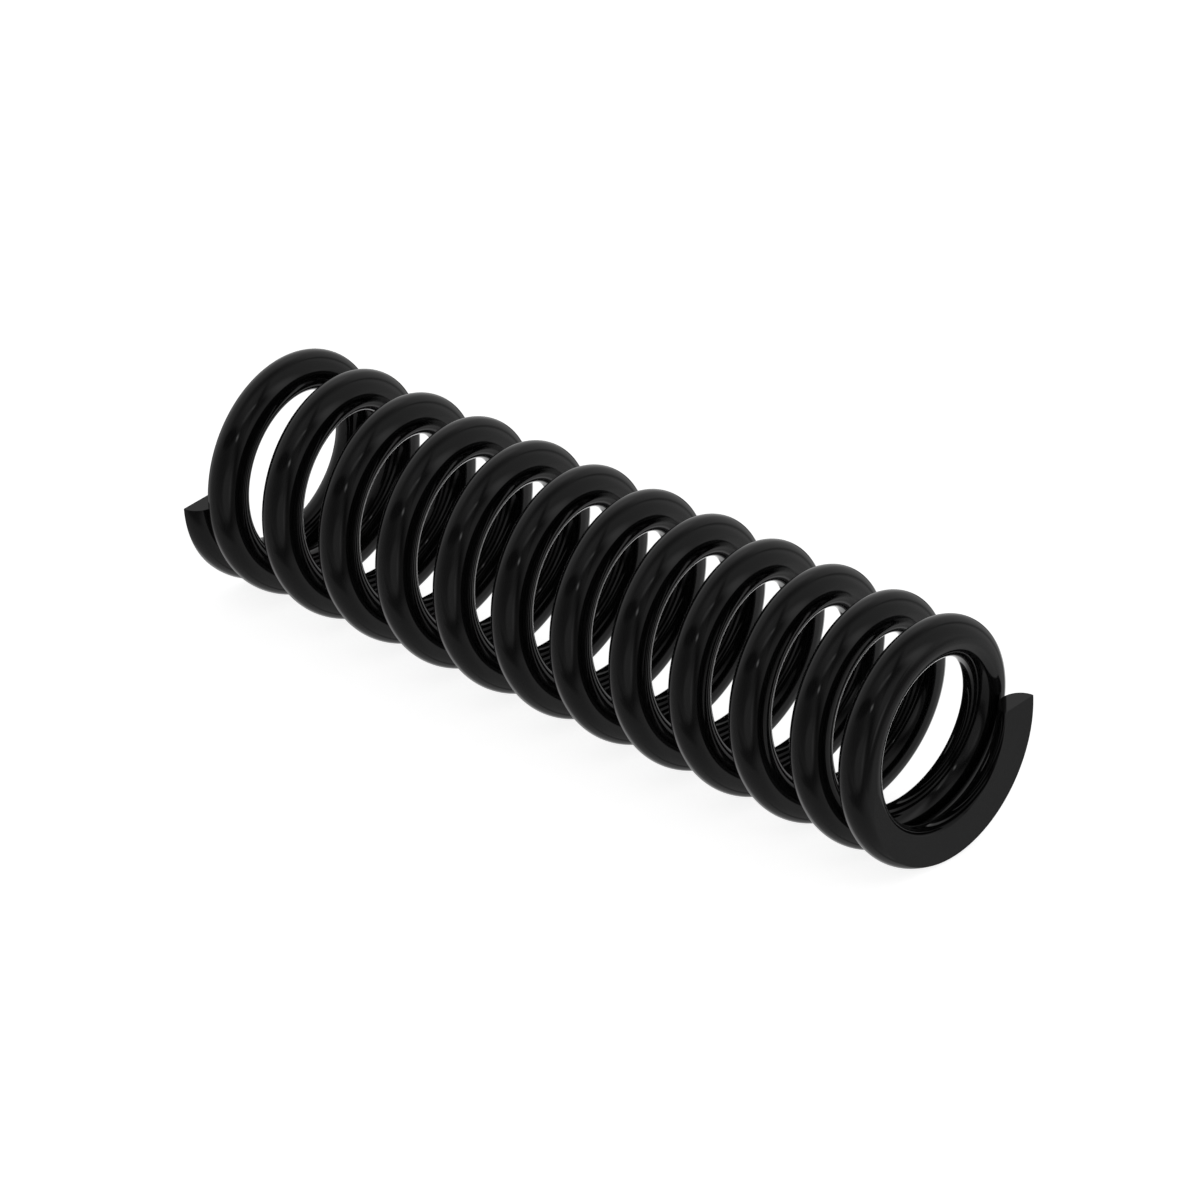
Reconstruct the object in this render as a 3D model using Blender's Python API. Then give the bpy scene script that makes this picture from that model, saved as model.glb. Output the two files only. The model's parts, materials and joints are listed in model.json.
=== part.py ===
"""Compression coil spring for a shock absorber: one round wire, wound right-handed, closed and ground ends.

The wire is modelled as half coils that meet at radial cuts. A compression spring shortens because
its wire twists, so each cut is a hinge about the wire's own line: the round section turns in itself
there and the coil stays one smooth wire. The first and last full turns do not flex and are one piece
each. Metres, +Z up. The spring lies on its side with its axis along +X, from the lower end to the
upper end as it is fitted, and the origin is in the middle of it.
"""

import math

import bmesh
import bpy
from mathutils import Vector

# ---------------------------------------------------------------- driving dimensions
WIRE_DIAMETER = 0.0100      # round spring steel wire
MEAN_DIAMETER = 0.0500      # across the coil, from wire centre to wire centre
ACTIVE_PITCH = 0.0188       # advance per turn of the open coils
TOTAL_TURNS = 12.5          # from one sheared tip to the other

CLOSED_TURNS = 0.61         # turns at each end wound solid, one wire diameter per turn
OPENING_TURNS = 0.71        # turns over which the pitch grows from solid to active

END_COIL_TURNS = 1.0        # turns at each end that seat the spring and do not flex
STRETCHES_PER_TURN = 2      # flexing stretches of wire in one turn
CUT_GAP = 0.0003            # between the faces of two stretches that meet

LOWER_TIP_ANGLE = math.radians(-172.5)   # of the lower end's tip about +X, from +Y

SECTION_SIDES = 16          # facets round the wire
STATIONS_PER_TURN = 24      # sections along one turn

# ---------------------------------------------------------------- the coating
COATING_COLOUR = (0.012, 0.012, 0.013, 1.0)
COATING_ROUGHNESS = 0.12

# ---------------------------------------------------------------- sizes that follow
WIRE_RADIUS = WIRE_DIAMETER / 2
MEAN_RADIUS = MEAN_DIAMETER / 2
AXIS = Vector((1.0, 0.0, 0.0))
MERGE_DISTANCE = 1e-6
SHARP_EDGE = math.radians(35)


def advance_from_tip(turns):
    """Distance of the wire's centre along the axis, this many turns from its tip, as the pitch opens."""
    opening = min(max((turns - CLOSED_TURNS) / OPENING_TURNS, 0.0), 1.0)
    opened = OPENING_TURNS * (opening ** 3 - opening ** 4 / 2)
    fully_open = max(turns - CLOSED_TURNS - OPENING_TURNS, 0.0)
    return WIRE_DIAMETER * turns + (ACTIVE_PITCH - WIRE_DIAMETER) * (opened + fully_open)


FREE_LENGTH = 2 * advance_from_tip(TOTAL_TURNS / 2)


def wire_advance(turns):
    """Distance of the wire's centre from the lower ground face; the two ends are alike."""
    if turns <= TOTAL_TURNS / 2:
        return advance_from_tip(turns)
    return FREE_LENGTH - advance_from_tip(TOTAL_TURNS - turns)


def wire_slope(turns):
    """Advance of the wire over the distance it runs round the coil."""
    step = 1e-4
    low, high = max(turns - step, 0.0), min(turns + step, TOTAL_TURNS)
    return (wire_advance(high) - wire_advance(low)) / ((high - low) * math.tau * MEAN_RADIUS)


def directions(turns):
    """Unit vectors outwards from the coil's axis and round it, the way the wire runs."""
    angle = LOWER_TIP_ANGLE + math.tau * turns
    outward = Vector((0.0, math.cos(angle), math.sin(angle)))
    return outward, AXIS.cross(outward)


def wire_centre(turns):
    outward, _ = directions(turns)
    return outward * MEAN_RADIUS + AXIS * (wire_advance(turns) - FREE_LENGTH / 2)


def wire_section(turns, shift=0.0):
    """Points round the wire on the radial plane at this turn, ground flat at both ends of the spring.

    Each half of the ring, outer then inner, stops where the ground face cuts it. Where nothing is
    ground away the halves meet. shift moves the section along the wire.
    """
    outward, along = directions(turns)
    slope = wire_slope(turns)
    half_width = WIRE_RADIUS * math.hypot(1.0, slope)
    advance = wire_advance(turns) + slope * shift
    lowest = -math.asin(min(advance / half_width, 1.0)) if advance > 0 else 0.0
    highest = math.asin(min((FREE_LENGTH - advance) / half_width, 1.0)) if advance < FREE_LENGTH else 0.0
    half_sides = SECTION_SIDES // 2
    arc = [lowest + (highest - lowest) * i / half_sides for i in range(half_sides + 1)]
    ring = [(math.cos(a), math.sin(a)) for a in arc]
    ring += [(-out, over) for out, over in reversed(ring)]
    centre = outward * MEAN_RADIUS + along * shift + AXIS * (advance - FREE_LENGTH / 2)
    return [centre + outward * (WIRE_RADIUS * out) + AXIS * (half_width * over) for out, over in ring]


def wire_mesh(name, start, end, origin):
    """Closed mesh of the wire between two turns, placed about origin, with half a cut gap at each cut."""
    steps = max(2, round((end - start) * STATIONS_PER_TURN))
    sections = []
    for i in range(steps + 1):
        turns = start + (end - start) * i / steps
        shift = 0.0
        if i == 0 and start > 0.0:
            shift = CUT_GAP / 2
        if i == steps and end < TOTAL_TURNS:
            shift = -CUT_GAP / 2
        sections.append(wire_section(turns, shift))

    shape = bmesh.new()
    rings = [[shape.verts.new(point - origin) for point in section] for section in sections]
    count = len(rings[0])
    for ring, following in zip(rings, rings[1:]):
        for i in range(count):
            j = (i + 1) % count
            shape.faces.new((ring[i], following[i], following[j], ring[j]))
    shape.faces.new(rings[0])
    shape.faces.new(reversed(rings[-1]))
    bmesh.ops.remove_doubles(shape, verts=shape.verts, dist=MERGE_DISTANCE)
    bmesh.ops.recalc_face_normals(shape, faces=shape.faces)
    mesh = bpy.data.meshes.new(name)
    shape.to_mesh(mesh)
    shape.free()
    mesh.shade_smooth()
    mesh.set_sharp_from_angle(angle=SHARP_EDGE)
    return mesh


def coating_material():
    """Smooth black coating over the steel."""
    material = bpy.data.materials.new("black_coating")
    material.use_nodes = True
    shader = material.node_tree.nodes["Principled BSDF"]
    shader.inputs["Base Color"].default_value = COATING_COLOUR
    shader.inputs["Roughness"].default_value = COATING_ROUGHNESS
    shader.inputs["Metallic"].default_value = 0.0
    return material


def add_stretch(name, start, end, hinge, material, parent=None, parent_hinge=None):
    """One stretch of wire with its origin on the hinge at its start, carried by the stretch before it."""
    mesh = wire_mesh(name, start, end, hinge)
    mesh.materials.append(material)
    stretch = bpy.data.objects.new(name, mesh)
    bpy.context.scene.collection.objects.link(stretch)
    stretch.location = hinge
    if parent:
        stretch.parent = parent
        stretch.location = hinge - parent_hinge
    return stretch


def cut_turns():
    """Turn counts of the cuts, from the lower end coil's to the upper end coil's."""
    flexing = TOTAL_TURNS - 2 * END_COIL_TURNS
    count = max(2, round(flexing * STRETCHES_PER_TURN))
    return [END_COIL_TURNS + flexing * i / count for i in range(count + 1)]


def build():
    for old in list(bpy.data.objects):
        bpy.data.objects.remove(old)
    material = coating_material()
    cuts = cut_turns()
    names = [f"half_coil_{number:02d}" for number in range(1, len(cuts))] + ["upper_end_coil"]
    hinge = Vector((0.0, 0.0, 0.0))
    stretch = add_stretch("lower_end_coil", 0.0, cuts[0], hinge, material)
    for name, start, end in zip(names, cuts, cuts[1:] + [TOTAL_TURNS]):
        parent, parent_hinge, hinge = stretch, hinge, wire_centre(start)
        stretch = add_stretch(name, start, end, hinge, material, parent, parent_hinge)


build()
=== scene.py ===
import json
import math

import bpy
import numpy as np
from mathutils import Matrix, Vector


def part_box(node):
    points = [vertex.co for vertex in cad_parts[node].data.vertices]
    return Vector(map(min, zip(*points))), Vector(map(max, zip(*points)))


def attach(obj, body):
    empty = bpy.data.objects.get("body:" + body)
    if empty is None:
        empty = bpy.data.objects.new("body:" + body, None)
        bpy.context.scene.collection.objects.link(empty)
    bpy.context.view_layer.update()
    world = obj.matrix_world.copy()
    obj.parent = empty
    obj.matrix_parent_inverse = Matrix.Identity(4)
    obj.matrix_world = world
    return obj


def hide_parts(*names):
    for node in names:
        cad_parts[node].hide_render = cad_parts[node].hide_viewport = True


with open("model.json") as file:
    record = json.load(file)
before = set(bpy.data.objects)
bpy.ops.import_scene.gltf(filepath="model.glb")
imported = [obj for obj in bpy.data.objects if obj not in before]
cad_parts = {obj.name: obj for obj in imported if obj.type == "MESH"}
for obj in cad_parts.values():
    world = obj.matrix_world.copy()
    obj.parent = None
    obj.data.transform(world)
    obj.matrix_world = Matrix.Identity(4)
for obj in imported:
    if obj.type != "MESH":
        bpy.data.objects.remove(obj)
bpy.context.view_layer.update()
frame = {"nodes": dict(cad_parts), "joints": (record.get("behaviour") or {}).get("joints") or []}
print("frame loaded:", len(frame["nodes"]), "nodes")


# the coil's sizes in metres and turns
coil = {
    "wireDiameter": 0.010,
    "totalTurns": 12.5,
    "closedTurns": 0.61,      # wound solid at each end
    "openingTurns": 0.71,     # the pitch grows from solid to active over these
    "endTurns": 1.0,          # in each end coil, which does not flex
    "cutGap": 1e-5,           # a hair of air between pieces, which slide past each other as the wire twists
    "stationsPerTurn": 180,   # sections along one turn
    "sides": 64,              # points round a whole section
    "mergeWithin": 1e-6,
    "planeTolerance": 2e-6,   # a face this near an end plane is a ground one
    "roundAbove": 0.6,        # a face whose normal agrees less than this with the wire's is flat
}


# the mean radius, the tip's angle and the pitch come from the hinges, which sit on the wire's centre
def readCoilFromFrame():
    hinges = frame["joints"]
    first = Vector(hinges[0]["pos_m"])
    coil["meanRadius"] = math.hypot(first.y, first.z)
    coil["tipAngle"] = math.atan2(first.z, first.y) - math.tau * coil["endTurns"]
    middle = len(hinges) // 2
    coil["activePitch"] = hinges[middle + 1]["pos_m"][0] - hinges[middle - 1]["pos_m"][0]


readCoilFromFrame()


# small helpers that wire nodes together: a value is another node's output or a plain number
def feed(tree, socket, value):
    if isinstance(value, bpy.types.NodeSocket):
        tree.links.new(value, socket)
    else:
        socket.default_value = value


def addMath(tree, operation, *values):
    node = tree.nodes.new("ShaderNodeMath")
    node.operation = operation
    for socket, value in zip(node.inputs, values):
        feed(tree, socket, value)
    return node.outputs[0]


def addClamped(tree, value, low, high):
    return addMath(tree, "MINIMUM", addMath(tree, "MAXIMUM", value, low), high)


def addVectorMath(tree, operation, *values):
    node = tree.nodes.new("ShaderNodeVectorMath")
    node.operation = operation
    sockets = [node.inputs[0], node.inputs["Scale"]] if operation == "SCALE" else node.inputs
    for socket, value in zip(sockets, values):
        feed(tree, socket, value)
    return node.outputs[0]


def addVector(tree, x, y, z):
    node = tree.nodes.new("ShaderNodeCombineXYZ")
    for socket, value in zip(node.inputs, (x, y, z)):
        feed(tree, socket, value)
    return node.outputs[0]


def addSwitch(tree, inputType, test, no, yes):
    node = tree.nodes.new("GeometryNodeSwitch")
    node.input_type = inputType
    for name, value in (("Switch", test), ("False", no), ("True", yes)):
        feed(tree, node.inputs[name], value)
    return node.outputs[0]


def newNodeTree(treeType, name, inputs, outputs):
    tree = bpy.data.node_groups.new(name, treeType)
    for label, kind in inputs:
        tree.interface.new_socket(label, in_out="INPUT", socket_type=kind)
    for label, kind in outputs:
        tree.interface.new_socket(label, in_out="OUTPUT", socket_type=kind)
    return tree, tree.nodes.new("NodeGroupInput"), tree.nodes.new("NodeGroupOutput")


advanceSizes = ("Total Turns", "Wire Radius", "Mean Radius", "Active Pitch", "Closed Turns", "Opening Turns")


# how far along the axis the wire is at a turn, and how steeply it climbs there
def makeAdvanceGroup():
    kind = "NodeSocketFloat"
    labels = ("Turns",) + advanceSizes
    tree, given, result = newNodeTree(
        "GeometryNodeTree", "wireAdvance", [(label, kind) for label in labels],
        [("Advance", kind), ("Slope", kind), ("Free Length", kind)])
    turns, total, wireRadius, meanRadius, pitch, closed, opening = given.outputs[:len(labels)]
    solidPitch = addMath(tree, "MULTIPLY", wireRadius, 2.0)
    extraPitch = addMath(tree, "SUBTRACT", pitch, solidPitch)
    fromTip = addMath(tree, "MINIMUM", turns, addMath(tree, "SUBTRACT", total, turns))
    pastClosed = addMath(tree, "SUBTRACT", fromTip, closed)
    share = addClamped(tree, addMath(tree, "DIVIDE", pastClosed, opening), 0.0, 1.0)
    squared = addMath(tree, "MULTIPLY", share, share)
    cubed = addMath(tree, "MULTIPLY", squared, share)
    halfFourth = addMath(tree, "MULTIPLY", addMath(tree, "MULTIPLY", squared, squared), 0.5)
    opened = addMath(tree, "MULTIPLY", opening, addMath(tree, "SUBTRACT", cubed, halfFourth))
    fullyOpen = addMath(tree, "MAXIMUM", addMath(tree, "SUBTRACT", pastClosed, opening), 0.0)
    reach = addMath(tree, "ADD", addMath(tree, "MULTIPLY", solidPitch, fromTip),
                    addMath(tree, "MULTIPLY", extraPitch, addMath(tree, "ADD", opened, fullyOpen)))
    bothClosed = addMath(tree, "MULTIPLY_ADD", closed, 2.0, opening)
    length = addMath(tree, "ADD", addMath(tree, "MULTIPLY", solidPitch, total),
                     addMath(tree, "MULTIPLY", extraPitch, addMath(tree, "SUBTRACT", total, bothClosed)))
    upperHalf = addMath(tree, "GREATER_THAN", turns, addMath(tree, "MULTIPLY", total, 0.5))
    advance = addSwitch(tree, "FLOAT", upperHalf, reach, addMath(tree, "SUBTRACT", length, reach))
    growth = addMath(tree, "SUBTRACT", addMath(tree, "MULTIPLY", squared, 3.0),
                     addMath(tree, "MULTIPLY", cubed, 2.0))   # a smooth step from closed to open
    pitchHere = addMath(tree, "ADD", solidPitch, addMath(tree, "MULTIPLY", extraPitch, growth))
    slope = addMath(tree, "DIVIDE", pitchHere, addMath(tree, "MULTIPLY", meanRadius, math.tau))
    for value, socket in zip((advance, slope, length), result.inputs):
        tree.links.new(value, socket)
    return tree


# the wire itself: a grid whose rows are sections along the wire and whose columns go round it.
# The first and last rows shrink to a point and close the ends. A section stops at the ground faces.
def makeWireTree(advanceGroup):
    sizes = ("Start Turn", "End Turn") + advanceSizes + ("Tip Angle", "Merge Within", "Plane Tolerance")
    tree, given, result = newNodeTree(
        "GeometryNodeTree", "coiledWire",
        [("Geometry", "NodeSocketGeometry")] + [(label, "NodeSocketFloat") for label in sizes]
        + [("Stations", "NodeSocketInt"), ("Half Sides", "NodeSocketInt"),
           ("Coating", "NodeSocketMaterial"), ("Ground Coating", "NodeSocketMaterial")],
        [("Geometry", "NodeSocketGeometry")])
    named = {socket.name: socket for socket in given.outputs}
    stations, halfSides = named["Stations"], named["Half Sides"]

    columns = addMath(tree, "MULTIPLY_ADD", halfSides, 2.0, 3.0)
    grid = tree.nodes.new("GeometryNodeMeshGrid")
    grid.inputs["Size X"].default_value = 1.0
    grid.inputs["Size Y"].default_value = 1.0
    tree.links.new(addMath(tree, "ADD", stations, 3.0), grid.inputs["Vertices X"])
    tree.links.new(columns, grid.inputs["Vertices Y"])
    place = tree.nodes.new("ShaderNodeSeparateXYZ")
    tree.links.new(tree.nodes.new("GeometryNodeInputPosition").outputs[0], place.inputs[0])
    along = addMath(tree, "ADD", place.outputs[0], 0.5)
    around = addMath(tree, "ADD", place.outputs[1], 0.5)

    row = addMath(tree, "ROUND", addMath(tree, "MULTIPLY", along, addMath(tree, "ADD", stations, 2.0)))
    station = addClamped(tree, addMath(tree, "SUBTRACT", row, 1.0), 0.0, stations)
    onWire = addMath(tree, "MULTIPLY", addMath(tree, "GREATER_THAN", row, 0.5),
                     addMath(tree, "LESS_THAN", row, addMath(tree, "ADD", stations, 1.5)))
    span = addMath(tree, "SUBTRACT", named["End Turn"], named["Start Turn"])
    turns = addMath(tree, "MULTIPLY_ADD", span, addMath(tree, "DIVIDE", station, stations),
                    named["Start Turn"])

    advance = tree.nodes.new("GeometryNodeGroup")
    advance.node_tree = advanceGroup
    tree.links.new(turns, advance.inputs["Turns"])
    for label in advanceSizes:
        tree.links.new(named[label], advance.inputs[label])
    reach, slope, length = advance.outputs[:3]
    stretch = addMath(tree, "SQRT", addMath(tree, "MULTIPLY_ADD", slope, slope, 1.0))
    halfWidth = addMath(tree, "MULTIPLY", named["Wire Radius"], stretch)

    def grindAngle(room):
        return addMath(tree, "ARCSINE", addClamped(tree, addMath(tree, "DIVIDE", room, halfWidth), 0.0, 1.0))

    lowest = addMath(tree, "MULTIPLY", grindAngle(reach), -1.0)
    highest = grindAngle(addMath(tree, "SUBTRACT", length, reach))
    arc = addMath(tree, "SUBTRACT", highest, lowest)

    # columns 0..half run up the outer side, half+1..2*half+1 back down the inner side, the last closes
    lastColumn = addMath(tree, "SUBTRACT", columns, 1.0)
    column = addMath(tree, "ROUND", addMath(tree, "MULTIPLY", around, lastColumn))
    closing = addMath(tree, "GREATER_THAN", column, addMath(tree, "SUBTRACT", lastColumn, 0.5))
    pastOuter = addMath(tree, "GREATER_THAN", column, addMath(tree, "ADD", halfSides, 0.5))
    inner = addMath(tree, "MULTIPLY", pastOuter, addMath(tree, "SUBTRACT", 1.0, closing))
    outerShare = addMath(tree, "DIVIDE", column, halfSides)
    innerShare = addMath(tree, "SUBTRACT", 1.0, addMath(
        tree, "DIVIDE", addMath(tree, "SUBTRACT", column, addMath(tree, "ADD", halfSides, 1.0)), halfSides))
    share = addSwitch(tree, "FLOAT", inner, outerShare, innerShare)
    share = addSwitch(tree, "FLOAT", closing, share, 0.0)
    angle = addMath(tree, "MULTIPLY_ADD", arc, share, lowest)
    side = addMath(tree, "SUBTRACT", 1.0, addMath(tree, "MULTIPLY", inner, 2.0))
    out = addMath(tree, "MULTIPLY", addMath(tree, "MULTIPLY", addMath(tree, "COSINE", angle), side), onWire)
    bothEnds = addMath(tree, "ADD", addMath(tree, "SINE", lowest), addMath(tree, "SINE", highest))
    middle = addMath(tree, "MULTIPLY", bothEnds, 0.5)
    over = addSwitch(tree, "FLOAT", onWire, middle, addMath(tree, "SINE", angle))

    turned = addMath(tree, "MULTIPLY_ADD", turns, math.tau, named["Tip Angle"])
    cosine, sine = addMath(tree, "COSINE", turned), addMath(tree, "SINE", turned)
    outward = addVector(tree, 0.0, cosine, sine)
    runs = addVector(tree, 0.0, addMath(tree, "MULTIPLY", sine, -1.0), cosine)
    radius = addMath(tree, "MULTIPLY_ADD", named["Wire Radius"], out, named["Mean Radius"])
    fromMiddle = addMath(tree, "SUBTRACT", reach, addMath(tree, "MULTIPLY", length, 0.5))
    axial = addMath(tree, "MULTIPLY_ADD", halfWidth, over, fromMiddle)
    point = addVectorMath(tree, "ADD", addVectorMath(tree, "SCALE", outward, radius),
                          addVector(tree, axial, 0.0, 0.0))
    acrossWire = addVectorMath(tree, "SUBTRACT", (1.0, 0.0, 0.0), addVectorMath(tree, "SCALE", runs, slope))
    normal = addVectorMath(tree, "ADD", addVectorMath(tree, "SCALE", outward, out),
                           addVectorMath(tree, "SCALE", acrossWire, addMath(tree, "DIVIDE", over, stretch)))

    stored = tree.nodes.new("GeometryNodeStoreNamedAttribute")   # kept before the points move
    stored.data_type = "FLOAT_VECTOR"
    stored.inputs["Name"].default_value = "wireNormal"
    tree.links.new(grid.outputs["Mesh"], stored.inputs["Geometry"])
    tree.links.new(addVectorMath(tree, "NORMALIZE", normal), stored.inputs["Value"])
    placed = tree.nodes.new("GeometryNodeSetPosition")
    tree.links.new(stored.outputs[0], placed.inputs["Geometry"])
    tree.links.new(point, placed.inputs["Position"])
    merged = tree.nodes.new("GeometryNodeMergeByDistance")
    tree.links.new(placed.outputs[0], merged.inputs["Geometry"])
    tree.links.new(named["Merge Within"], merged.inputs["Distance"])
    smooth = tree.nodes.new("GeometryNodeSetShadeSmooth")
    tree.links.new(merged.outputs[0], smooth.inputs[0])
    realized = tree.nodes.new("GeometryNodeRealizeInstances")
    tree.links.new(smooth.outputs[0], realized.inputs[0])
    coated = tree.nodes.new("GeometryNodeSetMaterial")
    tree.links.new(realized.outputs[0], coated.inputs["Geometry"])
    tree.links.new(named["Coating"], coated.inputs["Material"])
    made = tree.nodes.new("ShaderNodeSeparateXYZ")   # faces that lie in an end plane are the ground ones
    tree.links.new(tree.nodes.new("GeometryNodeInputPosition").outputs[0], made.inputs[0])
    nearEnd = addMath(tree, "SUBTRACT", addMath(tree, "MULTIPLY", length, 0.5), named["Plane Tolerance"])
    inEndPlane = addMath(tree, "GREATER_THAN", addMath(tree, "ABSOLUTE", made.outputs[0]), nearEnd)
    ground = tree.nodes.new("GeometryNodeSetMaterial")
    tree.links.new(coated.outputs[0], ground.inputs["Geometry"])
    tree.links.new(inEndPlane, ground.inputs["Selection"])
    tree.links.new(named["Ground Coating"], ground.inputs["Material"])
    tree.links.new(ground.outputs[0], result.inputs[0])
    return tree


# the gloss black coating
coatingFinish = {
    "darkTone": (0.0016, 0.0016, 0.0017, 1.0), "lightTone": (0.0036, 0.0036, 0.0038, 1.0),
    "smoothest": 0.045, "roughest": 0.10,          # roughness
    "ior": 1.5,
    "cloudsPerMetre": 55.0,                        # slow drift of tone along the wire
    "patchesPerCloud": 3.1,                        # gloss changes over patches finer than the clouds
    "grainPerPeel": 3.0, "grainShare": 0.35,       # and over a grain finer than the peel
    "peelPerMetre": 420.0, "peelDepth": 1.4e-6,    # orange peel, a couple of millimetres from crest to crest
    "ripplesPerPeel": 2.3, "rippleShare": 0.3,     # finer ripples on it
}
# the same coating on the two ground faces
groundFinish = {
    "smoothest": 0.09, "roughest": 0.16,
    "ringsPerMetre": 2600.0, "ringDepth": 0.5e-6,  # marks of the grinding wheel under the coating
    "wobblePerRing": 0.02,                         # how fast the rings wander off true
}


def addNoise(tree, place, scale, detail, roughness=0.5):
    noise = tree.nodes.new("ShaderNodeTexNoise")
    noise.inputs["Detail"].default_value = detail
    noise.inputs["Roughness"].default_value = roughness
    tree.links.new(place, noise.inputs["Vector"])
    tree.links.new(scale, noise.inputs["Scale"])
    return noise.outputs[0]


def addRange(tree, value, low, high, newLow, newHigh):
    node = tree.nodes.new("ShaderNodeMapRange")
    tree.links.new(value, node.inputs["Value"])
    for label, number in (("From Min", low), ("From Max", high), ("To Min", newLow), ("To Max", newHigh)):
        node.inputs[label].default_value = number
    return node.outputs[0]


# drift of the sprayed coat: a tone mask, a dullness mask and the orange peel's height
def makeSprayedCoat():
    kind, finish = "NodeSocketFloat", coatingFinish
    tree, given, result = newNodeTree(
        "ShaderNodeTree", "sprayedCoat", [("Place", "NodeSocketVector"), ("Clouds", kind), ("Peel", kind)],
        [("Tone", kind), ("Dullness", kind), ("Height", kind)])
    place, clouds, peel = given.outputs[:3]
    tone = addRange(tree, addNoise(tree, place, clouds, detail=3.0), 0.3, 0.7, 0.0, 1.0)
    patchScale = addMath(tree, "MULTIPLY", clouds, finish["patchesPerCloud"])
    patches = addNoise(tree, place, patchScale, detail=4.0, roughness=0.6)
    grain = addNoise(tree, place, addMath(tree, "MULTIPLY", peel, finish["grainPerPeel"]), detail=2.0)
    mixed = addMath(tree, "MULTIPLY_ADD", grain, finish["grainShare"],
                    addMath(tree, "MULTIPLY", patches, 1.0 - finish["grainShare"]))
    dullness = addRange(tree, mixed, 0.35, 0.65, 0.0, 1.0)
    ripples = addNoise(tree, place, addMath(tree, "MULTIPLY", peel, finish["ripplesPerPeel"]), detail=1.0)
    height = addMath(tree, "MULTIPLY_ADD", ripples, finish["rippleShare"],
                     addNoise(tree, place, peel, detail=1.0))
    for value, socket in zip((tone, dullness, height), result.inputs):
        tree.links.new(value, socket)
    return tree


# rings left round the coil's axis where the ends were ground
def makeGrindingRings():
    tree, given, result = newNodeTree(
        "ShaderNodeTree", "grindingRings", [("Place", "NodeSocketVector"), ("Rings", "NodeSocketFloat")],
        [("Height", "NodeSocketFloat")])
    place, ringScale = given.outputs[:2]
    split = tree.nodes.new("ShaderNodeSeparateXYZ")
    tree.links.new(place, split.inputs[0])
    y, z = split.outputs[1], split.outputs[2]
    radius = addMath(tree, "SQRT", addMath(tree, "MULTIPLY_ADD", y, y, addMath(tree, "MULTIPLY", z, z)))
    wobbleScale = addMath(tree, "MULTIPLY", ringScale, groundFinish["wobblePerRing"])
    wobble = addNoise(tree, place, wobbleScale, detail=2.0)
    rings = tree.nodes.new("ShaderNodeTexNoise")
    rings.noise_dimensions = "1D"
    rings.inputs["Scale"].default_value = 1.0
    rings.inputs["Detail"].default_value = 3.0
    tree.links.new(addMath(tree, "MULTIPLY_ADD", radius, ringScale, wobble), rings.inputs["W"])
    tree.links.new(rings.outputs[0], result.inputs[0])
    return tree


# the coating as a material, with the grinding rings under it where they are given
def makeCoatedMaterial(name, smoothest, roughest, sprayedCoat, rings=None):
    material = bpy.data.materials.new(name)
    material.use_nodes = True
    tree = material.node_tree
    shader = tree.nodes["Principled BSDF"]
    shader.inputs["IOR"].default_value = coatingFinish["ior"]
    place = tree.nodes.new("ShaderNodeTexCoord").outputs["Object"]
    coat = tree.nodes.new("ShaderNodeGroup")
    coat.node_tree = sprayedCoat
    coat.inputs["Clouds"].default_value = coatingFinish["cloudsPerMetre"]
    coat.inputs["Peel"].default_value = coatingFinish["peelPerMetre"]
    tree.links.new(place, coat.inputs["Place"])
    tone = tree.nodes.new("ShaderNodeMix")
    tone.data_type = "RGBA"
    colors = [socket for socket in tone.inputs if socket.type == "RGBA"]
    colors[0].default_value, colors[1].default_value = coatingFinish["darkTone"], coatingFinish["lightTone"]
    tree.links.new(coat.outputs["Tone"], tone.inputs[0])
    tree.links.new(next(o for o in tone.outputs if o.type == "RGBA"), shader.inputs["Base Color"])
    roughness = addRange(tree, coat.outputs["Dullness"], 0.0, 1.0, smoothest, roughest)
    tree.links.new(roughness, shader.inputs["Roughness"])
    peel = tree.nodes.new("ShaderNodeBump")
    peel.inputs["Distance"].default_value = coatingFinish["peelDepth"]
    tree.links.new(coat.outputs["Height"], peel.inputs["Height"])
    normal = peel.outputs[0]
    if rings:
        marks = tree.nodes.new("ShaderNodeGroup")
        marks.node_tree = rings
        marks.inputs["Rings"].default_value = groundFinish["ringsPerMetre"]
        tree.links.new(place, marks.inputs["Place"])
        ground = tree.nodes.new("ShaderNodeBump")
        ground.inputs["Distance"].default_value = groundFinish["ringDepth"]
        tree.links.new(marks.outputs["Height"], ground.inputs["Height"])
        tree.links.new(normal, ground.inputs["Normal"])
        normal = ground.outputs[0]
    tree.links.new(normal, shader.inputs["Normal"])
    return material


# round faces take the wire's own normals, so two pieces meet without a seam; flat faces stay flat
def setWireNormals(mesh, freeLength):
    count = len(mesh.vertices)
    points = np.zeros(count * 3)
    mesh.vertices.foreach_get("co", points)
    points = points.reshape(-1, 3)
    wire = np.zeros(count * 3)
    mesh.attributes["wireNormal"].data.foreach_get("vector", wire)
    wire = wire.reshape(-1, 3)
    corners = np.zeros(len(mesh.loops), int)
    mesh.loops.foreach_get("vertex_index", corners)
    faceNormals = np.zeros(len(mesh.polygons) * 3)
    mesh.polygons.foreach_get("normal", faceNormals)
    faceNormals = faceNormals.reshape(-1, 3)
    sizes = np.zeros(len(mesh.polygons), int)
    mesh.polygons.foreach_get("loop_total", sizes)
    face = np.repeat(np.arange(len(sizes)), sizes)
    starts = np.concatenate([[0], np.cumsum(sizes)[:-1]])
    inEndPlane = np.abs(np.abs(points[corners, 0]) - freeLength / 2) < coil["planeTolerance"]
    flat = np.logical_and.reduceat(inEndPlane, starts)
    agree = np.add.reduceat(np.einsum("ij,ij->i", wire[corners], faceNormals[face]), starts) / sizes
    flat |= agree < coil["roundAbove"]
    normals = np.where(flat[face][:, None], faceNormals[face], wire[corners])
    mesh.normals_split_custom_set([tuple(n) for n in normals])
    mesh.attributes.remove(mesh.attributes["wireNormal"])


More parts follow.
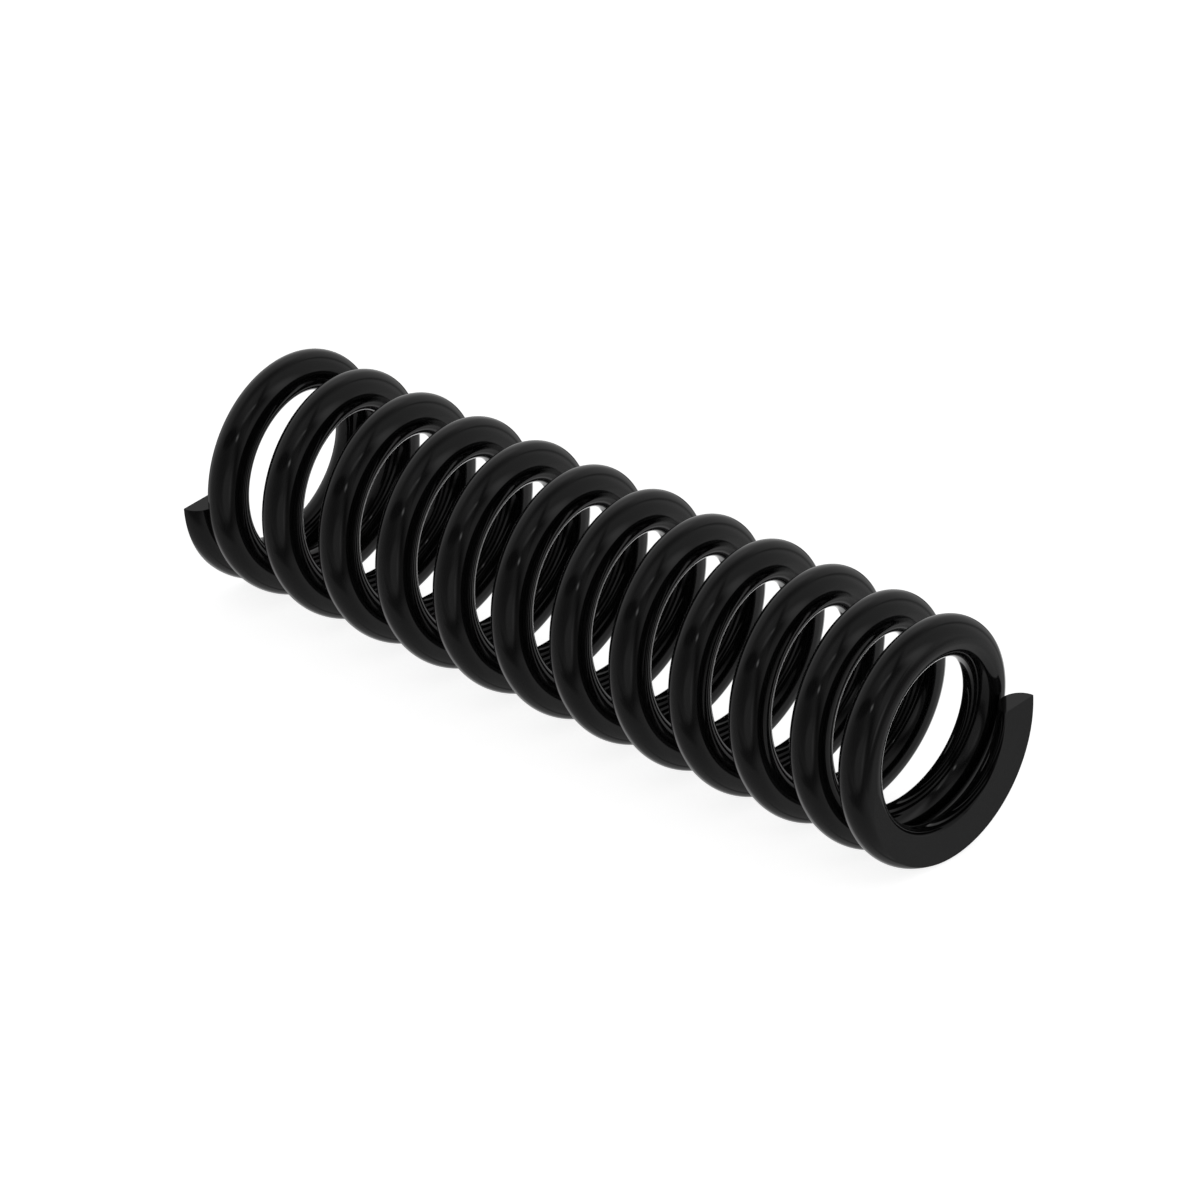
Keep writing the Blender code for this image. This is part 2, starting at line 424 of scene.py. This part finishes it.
# one stretch of the wire between two turns, as a plain mesh that rides on its body
def buildWire(tree, name, body, start, end):
    holder = bpy.data.objects.new(name + "Holder", bpy.data.meshes.new(name + "Holder"))
    bpy.context.scene.collection.objects.link(holder)
    modifier = holder.modifiers.new("coiledWire", "NODES")
    modifier.node_group = tree
    identifiers = {item.name: item.identifier for item in tree.interface.items_tree if item.in_out == "INPUT"}
    values = {
        "Start Turn": start, "End Turn": end, "Total Turns": coil["totalTurns"],
        "Wire Radius": coil["wireDiameter"] / 2, "Mean Radius": coil["meanRadius"],
        "Active Pitch": coil["activePitch"], "Closed Turns": coil["closedTurns"],
        "Opening Turns": coil["openingTurns"], "Tip Angle": coil["tipAngle"],
        "Stations": round((end - start) * coil["stationsPerTurn"]), "Half Sides": coil["sides"] // 2,
        "Merge Within": coil["mergeWithin"], "Plane Tolerance": coil["planeTolerance"],
        "Coating": wireCoating, "Ground Coating": groundCoating,
    }
    for label, value in values.items():
        modifier[identifiers[label]] = value
    bpy.context.view_layer.update()
    evaluated = holder.evaluated_get(bpy.context.evaluated_depsgraph_get())
    mesh = bpy.data.meshes.new_from_object(evaluated)
    mesh.name = name
    bpy.data.objects.remove(holder)
    setWireNormals(mesh, freeLength)
    piece = bpy.data.objects.new(name, mesh)
    bpy.context.scene.collection.objects.link(piece)
    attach(piece, body)
    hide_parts(body)
    return piece


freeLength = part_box("upper_end_coil")[1].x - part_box("lower_end_coil")[0].x
sprayedCoat = makeSprayedCoat()
wireCoating = makeCoatedMaterial(
    "glossBlackCoating", coatingFinish["smoothest"], coatingFinish["roughest"], sprayedCoat)
groundCoating = makeCoatedMaterial(
    "groundFaceCoating", groundFinish["smoothest"], groundFinish["roughest"], sprayedCoat,
    rings=makeGrindingRings())
print("coating made")

wireTree = makeWireTree(makeAdvanceGroup())
flexing = coil["totalTurns"] - 2 * coil["endTurns"]
stretches = len(frame["joints"]) - 1                  # a hinge on each side of every flexing stretch
cuts = [coil["endTurns"] + flexing * i / stretches for i in range(stretches + 1)]
trim = coil["cutGap"] / 2 / (math.tau * coil["meanRadius"])
starts = [0.0] + [cut + trim for cut in cuts]
ends = [cut - trim for cut in cuts] + [coil["totalTurns"]]
bodies = ["lower_end_coil"] + [f"half_coil_{i:02d}" for i in range(1, stretches + 1)] + ["upper_end_coil"]
pieceNames = ["wireLowerEnd"] + [f"wireHalfCoil{i:02d}" for i in range(1, stretches + 1)] + ["wireUpperEnd"]
wirePieces = [buildWire(wireTree, name, body, start, end)
              for name, body, start, end in zip(pieceNames, bodies, starts, ends)]
print("wire built:", len(wirePieces), "pieces,", sum(len(p.data.polygons) for p in wirePieces), "faces")


# floor and light
studio = {
    "floorColor": 0.9, "floorRoughness": 0.9, "floorHalf": 4.0,
    "floorGlow": 0.87,                      # a lit table: the glow keeps the shadow faint
    "domeRadius": 12.0, "domeStep": 1.0, "dome": 0.35,   # metres, degrees between its points, brightness
    # turn and lift of a panel's middle, half width and half height, tilt (degrees), softness, brightness.
    # Later panels lie over earlier ones, and one darker than the dome works as a flag.
    # The rows down to uprightBox, apart from topBoxTip, and the dome's brightness are rounded results of
    # a least-squares fit. topBoxTip and the rows after uprightBox are set one by one.
    "panels": {
        "leftFlag": (-98, -32, 54, 66, 54, 1.0, 0.22),
        "leftWall": (136, 3, 59, 16, 7, 1.0, 0.44),
        "rightLow": (63, -37, 80, 4, 13, 1.0, 0.38),
        "rightWall": (83, 33, 80, 35, -76, 0.1, 0.32),
        "backTopFlag": (167, 69, 37, 13, -9, 1.0, 0.14),
        "farFlag": (129, -28, 28, 22, 34, 0.1, 0.04),
        "slabFlag": (-97, 21, 39, 30, 143, 1.0, 0.12),
        "slabCorner": (-107, 36, 29, 9, 21, 0.4, 0.06),
        "lowFlag": (-80, -35, 32, 6, -21, 0.7, 0.12),
        "lowFlagEnd": (-32, -21, 69, 8, 33, 1.0, 0.07),
        "roundBox": (-57, -5, 22, 20, -6, 0.3, 0.32),
        "roundBoxRim": (-39, 12, 5, 20, -1, 1.0, 0.65),
        "diagonalFlag": (-32, 16, 37, 12, -58, 1.0, 0.06),
        "topFlag": (-13, 62, 5, 26, -10, 1.0, 0.09),
        "topFlagEnd": (-10, 52, 25, 13, -9, 1.0, 0.10),
        "middleFlag": (6, -6, 38, 12, 21, 0.6, 0.13),
        "gapFlag": (27, -3, 28, 8, -21, 1.0, 0.12),
        "smallBox": (3, 5, 10, 5, 45, 1.0, 0.62),
        "tallBox": (30, 35, 7, 23, 18, 1.0, 0.66),
        "topBox": (-50, 59, 10, 5, 24, 0.8, 0.56),
        "topBoxTip": (-33, 62, 4, 2.0, -10, 0.9, 0.90),
        "keyGlint": (-59, 39, 4, 2.1, -16, 1.0, 1.94),
        "uprightFlag": (84, -27, 6, 80, -5, 1.0, 0.16),
        "uprightBox": (79, -6, 5, 42, -1, 1.0, 0.37),
        "tipBox": (135, 37, 9, 7, 0, 0.8, 0.42),
        "endFaceFlag": (48, -25, 9, 8, 0, 1.0, 0.27),
        # behind the coil: light lines along its inner edges, a dark line down its left ones
        "farGlow": (117, -31, 17, 13, 0, 0.3, 1.10),
        "farGlowBelow": (148, -48, 26, 11, 0, 0.4, 0.60),
        "farGlowAbove": (134, -8, 12, 8, 0, 0.5, 0.55),
        "farEdgeFlag": (148, -21, 15, 8, 0, 0.3, 0.04),
    },
}


# how bright the studio is towards each of these directions
def domeBrightness(directions):
    light = np.full(len(directions), studio["dome"])
    for turn, lift, halfWidth, halfHeight, tilt, softness, brightness in studio["panels"].values():
        a, e, r = np.radians((turn, lift, tilt))
        towards = np.array((np.cos(e) * np.cos(a), np.cos(e) * np.sin(a), np.sin(e)))
        level = np.array((-np.sin(a), np.cos(a), 0.0))
        upright = np.cross(towards, level)
        across = (level * np.cos(r) + upright * np.sin(r)) / np.tan(np.radians(halfWidth))
        over = (upright * np.cos(r) - level * np.sin(r)) / np.tan(np.radians(halfHeight))
        ahead = directions @ towards
        depth = np.maximum(ahead, 0.001)
        reach = np.hypot(directions @ across / depth, directions @ over / depth)
        share = np.clip((1 + softness - reach) / (2 * softness), 0, 1) * (ahead > 0)
        light += (brightness - light) * share * share * (3 - 2 * share)
    return light


# a wide dome around the set that only shows in reflections
def makeDome():
    step = studio["domeStep"]
    columns, rows = round(360 / step), round(180 / step) - 1
    turns, lifts = np.meshgrid(
        np.radians(np.arange(columns) * step), np.radians(np.arange(1, rows + 1) * step - 90))
    ring = np.stack([np.cos(lifts) * np.cos(turns), np.cos(lifts) * np.sin(turns), np.sin(lifts)], axis=-1)
    ring = ring.reshape(-1, 3)
    directions = np.vstack([ring, (0, 0, -1), (0, 0, 1)])
    bottom, top = len(ring), len(ring) + 1
    last = (rows - 1) * columns
    faces = [(r * columns + c, (r + 1) * columns + c,
              (r + 1) * columns + (c + 1) % columns, r * columns + (c + 1) % columns)
             for r in range(rows - 1) for c in range(columns)]
    faces += [(bottom, c, (c + 1) % columns) for c in range(columns)]
    faces += [(top, last + (c + 1) % columns, last + c) for c in range(columns)]
    mesh = bpy.data.meshes.new("studioDome")
    mesh.from_pydata((directions * studio["domeRadius"]).tolist(), [], faces)
    glow = mesh.attributes.new("glow", "FLOAT", "POINT")
    glow.data.foreach_set("value", domeBrightness(directions).astype(np.float32))
    material = bpy.data.materials.new("studioDome")
    material.use_nodes = True
    tree = material.node_tree
    tree.nodes.clear()
    read = tree.nodes.new("ShaderNodeAttribute")
    read.attribute_name = "glow"
    light = tree.nodes.new("ShaderNodeEmission")
    tree.links.new(read.outputs["Fac"], light.inputs["Color"])
    tree.links.new(light.outputs[0], tree.nodes.new("ShaderNodeOutputMaterial").inputs["Surface"])
    material.cycles.emission_sampling = "NONE"
    mesh.materials.append(material)
    dome = bpy.data.objects.new("studioDome", mesh)
    bpy.context.scene.collection.objects.link(dome)
    dome.visible_camera = False


def makeBackdrop():
    world = bpy.data.worlds.new("whiteBackdrop")
    world.use_nodes = True
    world.node_tree.nodes["Background"].inputs["Color"].default_value = (1.0, 1.0, 1.0, 1.0)
    world.cycles.sampling_method = "NONE"
    bpy.context.scene.world = world


def makeFloor():
    mesh = bpy.data.meshes.new("studioFloor")
    half, height = studio["floorHalf"], -coil["meanRadius"] - coil["wireDiameter"] / 2
    corners = [(-half, -half, height), (half, -half, height), (half, half, height), (-half, half, height)]
    mesh.from_pydata(corners, [], [(0, 1, 2, 3)])
    floor = bpy.data.objects.new("studioFloor", mesh)
    bpy.context.scene.collection.objects.link(floor)
    material = bpy.data.materials.new("paleFloor")
    material.use_nodes = True
    shader = material.node_tree.nodes["Principled BSDF"]
    shader.inputs["Base Color"].default_value = (studio["floorColor"],) * 3 + (1.0,)
    shader.inputs["Roughness"].default_value = studio["floorRoughness"]
    shader.inputs["Emission Color"].default_value = (1.0, 1.0, 1.0, 1.0)
    shader.inputs["Emission Strength"].default_value = studio["floorGlow"]
    material.cycles.emission_sampling = "NONE"
    mesh.materials.append(material)
    floor.visible_glossy = False


# a long lens from the upper end's side, a little above the spring; its place, aim and lens come from
# a separate program's fit of the coil's outline
camera = {
    "azimuth": 41.715, "elevation": 25.542, "roll": 2.171,   # degrees; roll lifts the frame's right side
    "distance": 2.336, "seesTo": 50.0,                       # metres
    "lens": 296.4, "sensor": 36.0,                           # millimetres
}


def placeCamera():
    data = bpy.data.cameras.new("studioCamera")
    data.lens = camera["lens"]
    data.sensor_width = camera["sensor"]
    data.clip_end = camera["seesTo"]
    viewer = bpy.data.objects.new("studioCamera", data)
    bpy.context.scene.collection.objects.link(viewer)
    turn, lift, roll = (math.radians(camera[key]) for key in ("azimuth", "elevation", "roll"))
    towards = Vector((math.sin(turn) * math.cos(lift), -math.cos(turn) * math.cos(lift), math.sin(lift)))
    right = Vector((0, 0, 1)).cross(towards).normalized()
    up = towards.cross(right)
    right, up = (right * math.cos(roll) + up * math.sin(roll), up * math.cos(roll) - right * math.sin(roll))
    viewer.matrix_world = Matrix.Translation(towards * camera["distance"]) @ Matrix(
        (right, up, towards)).transposed().to_4x4()
    bpy.context.scene.camera = viewer


makeDome()
makeBackdrop()
makeFloor()
placeCamera()
bpy.context.scene.view_settings.view_transform = "Standard"
print("studio ready")
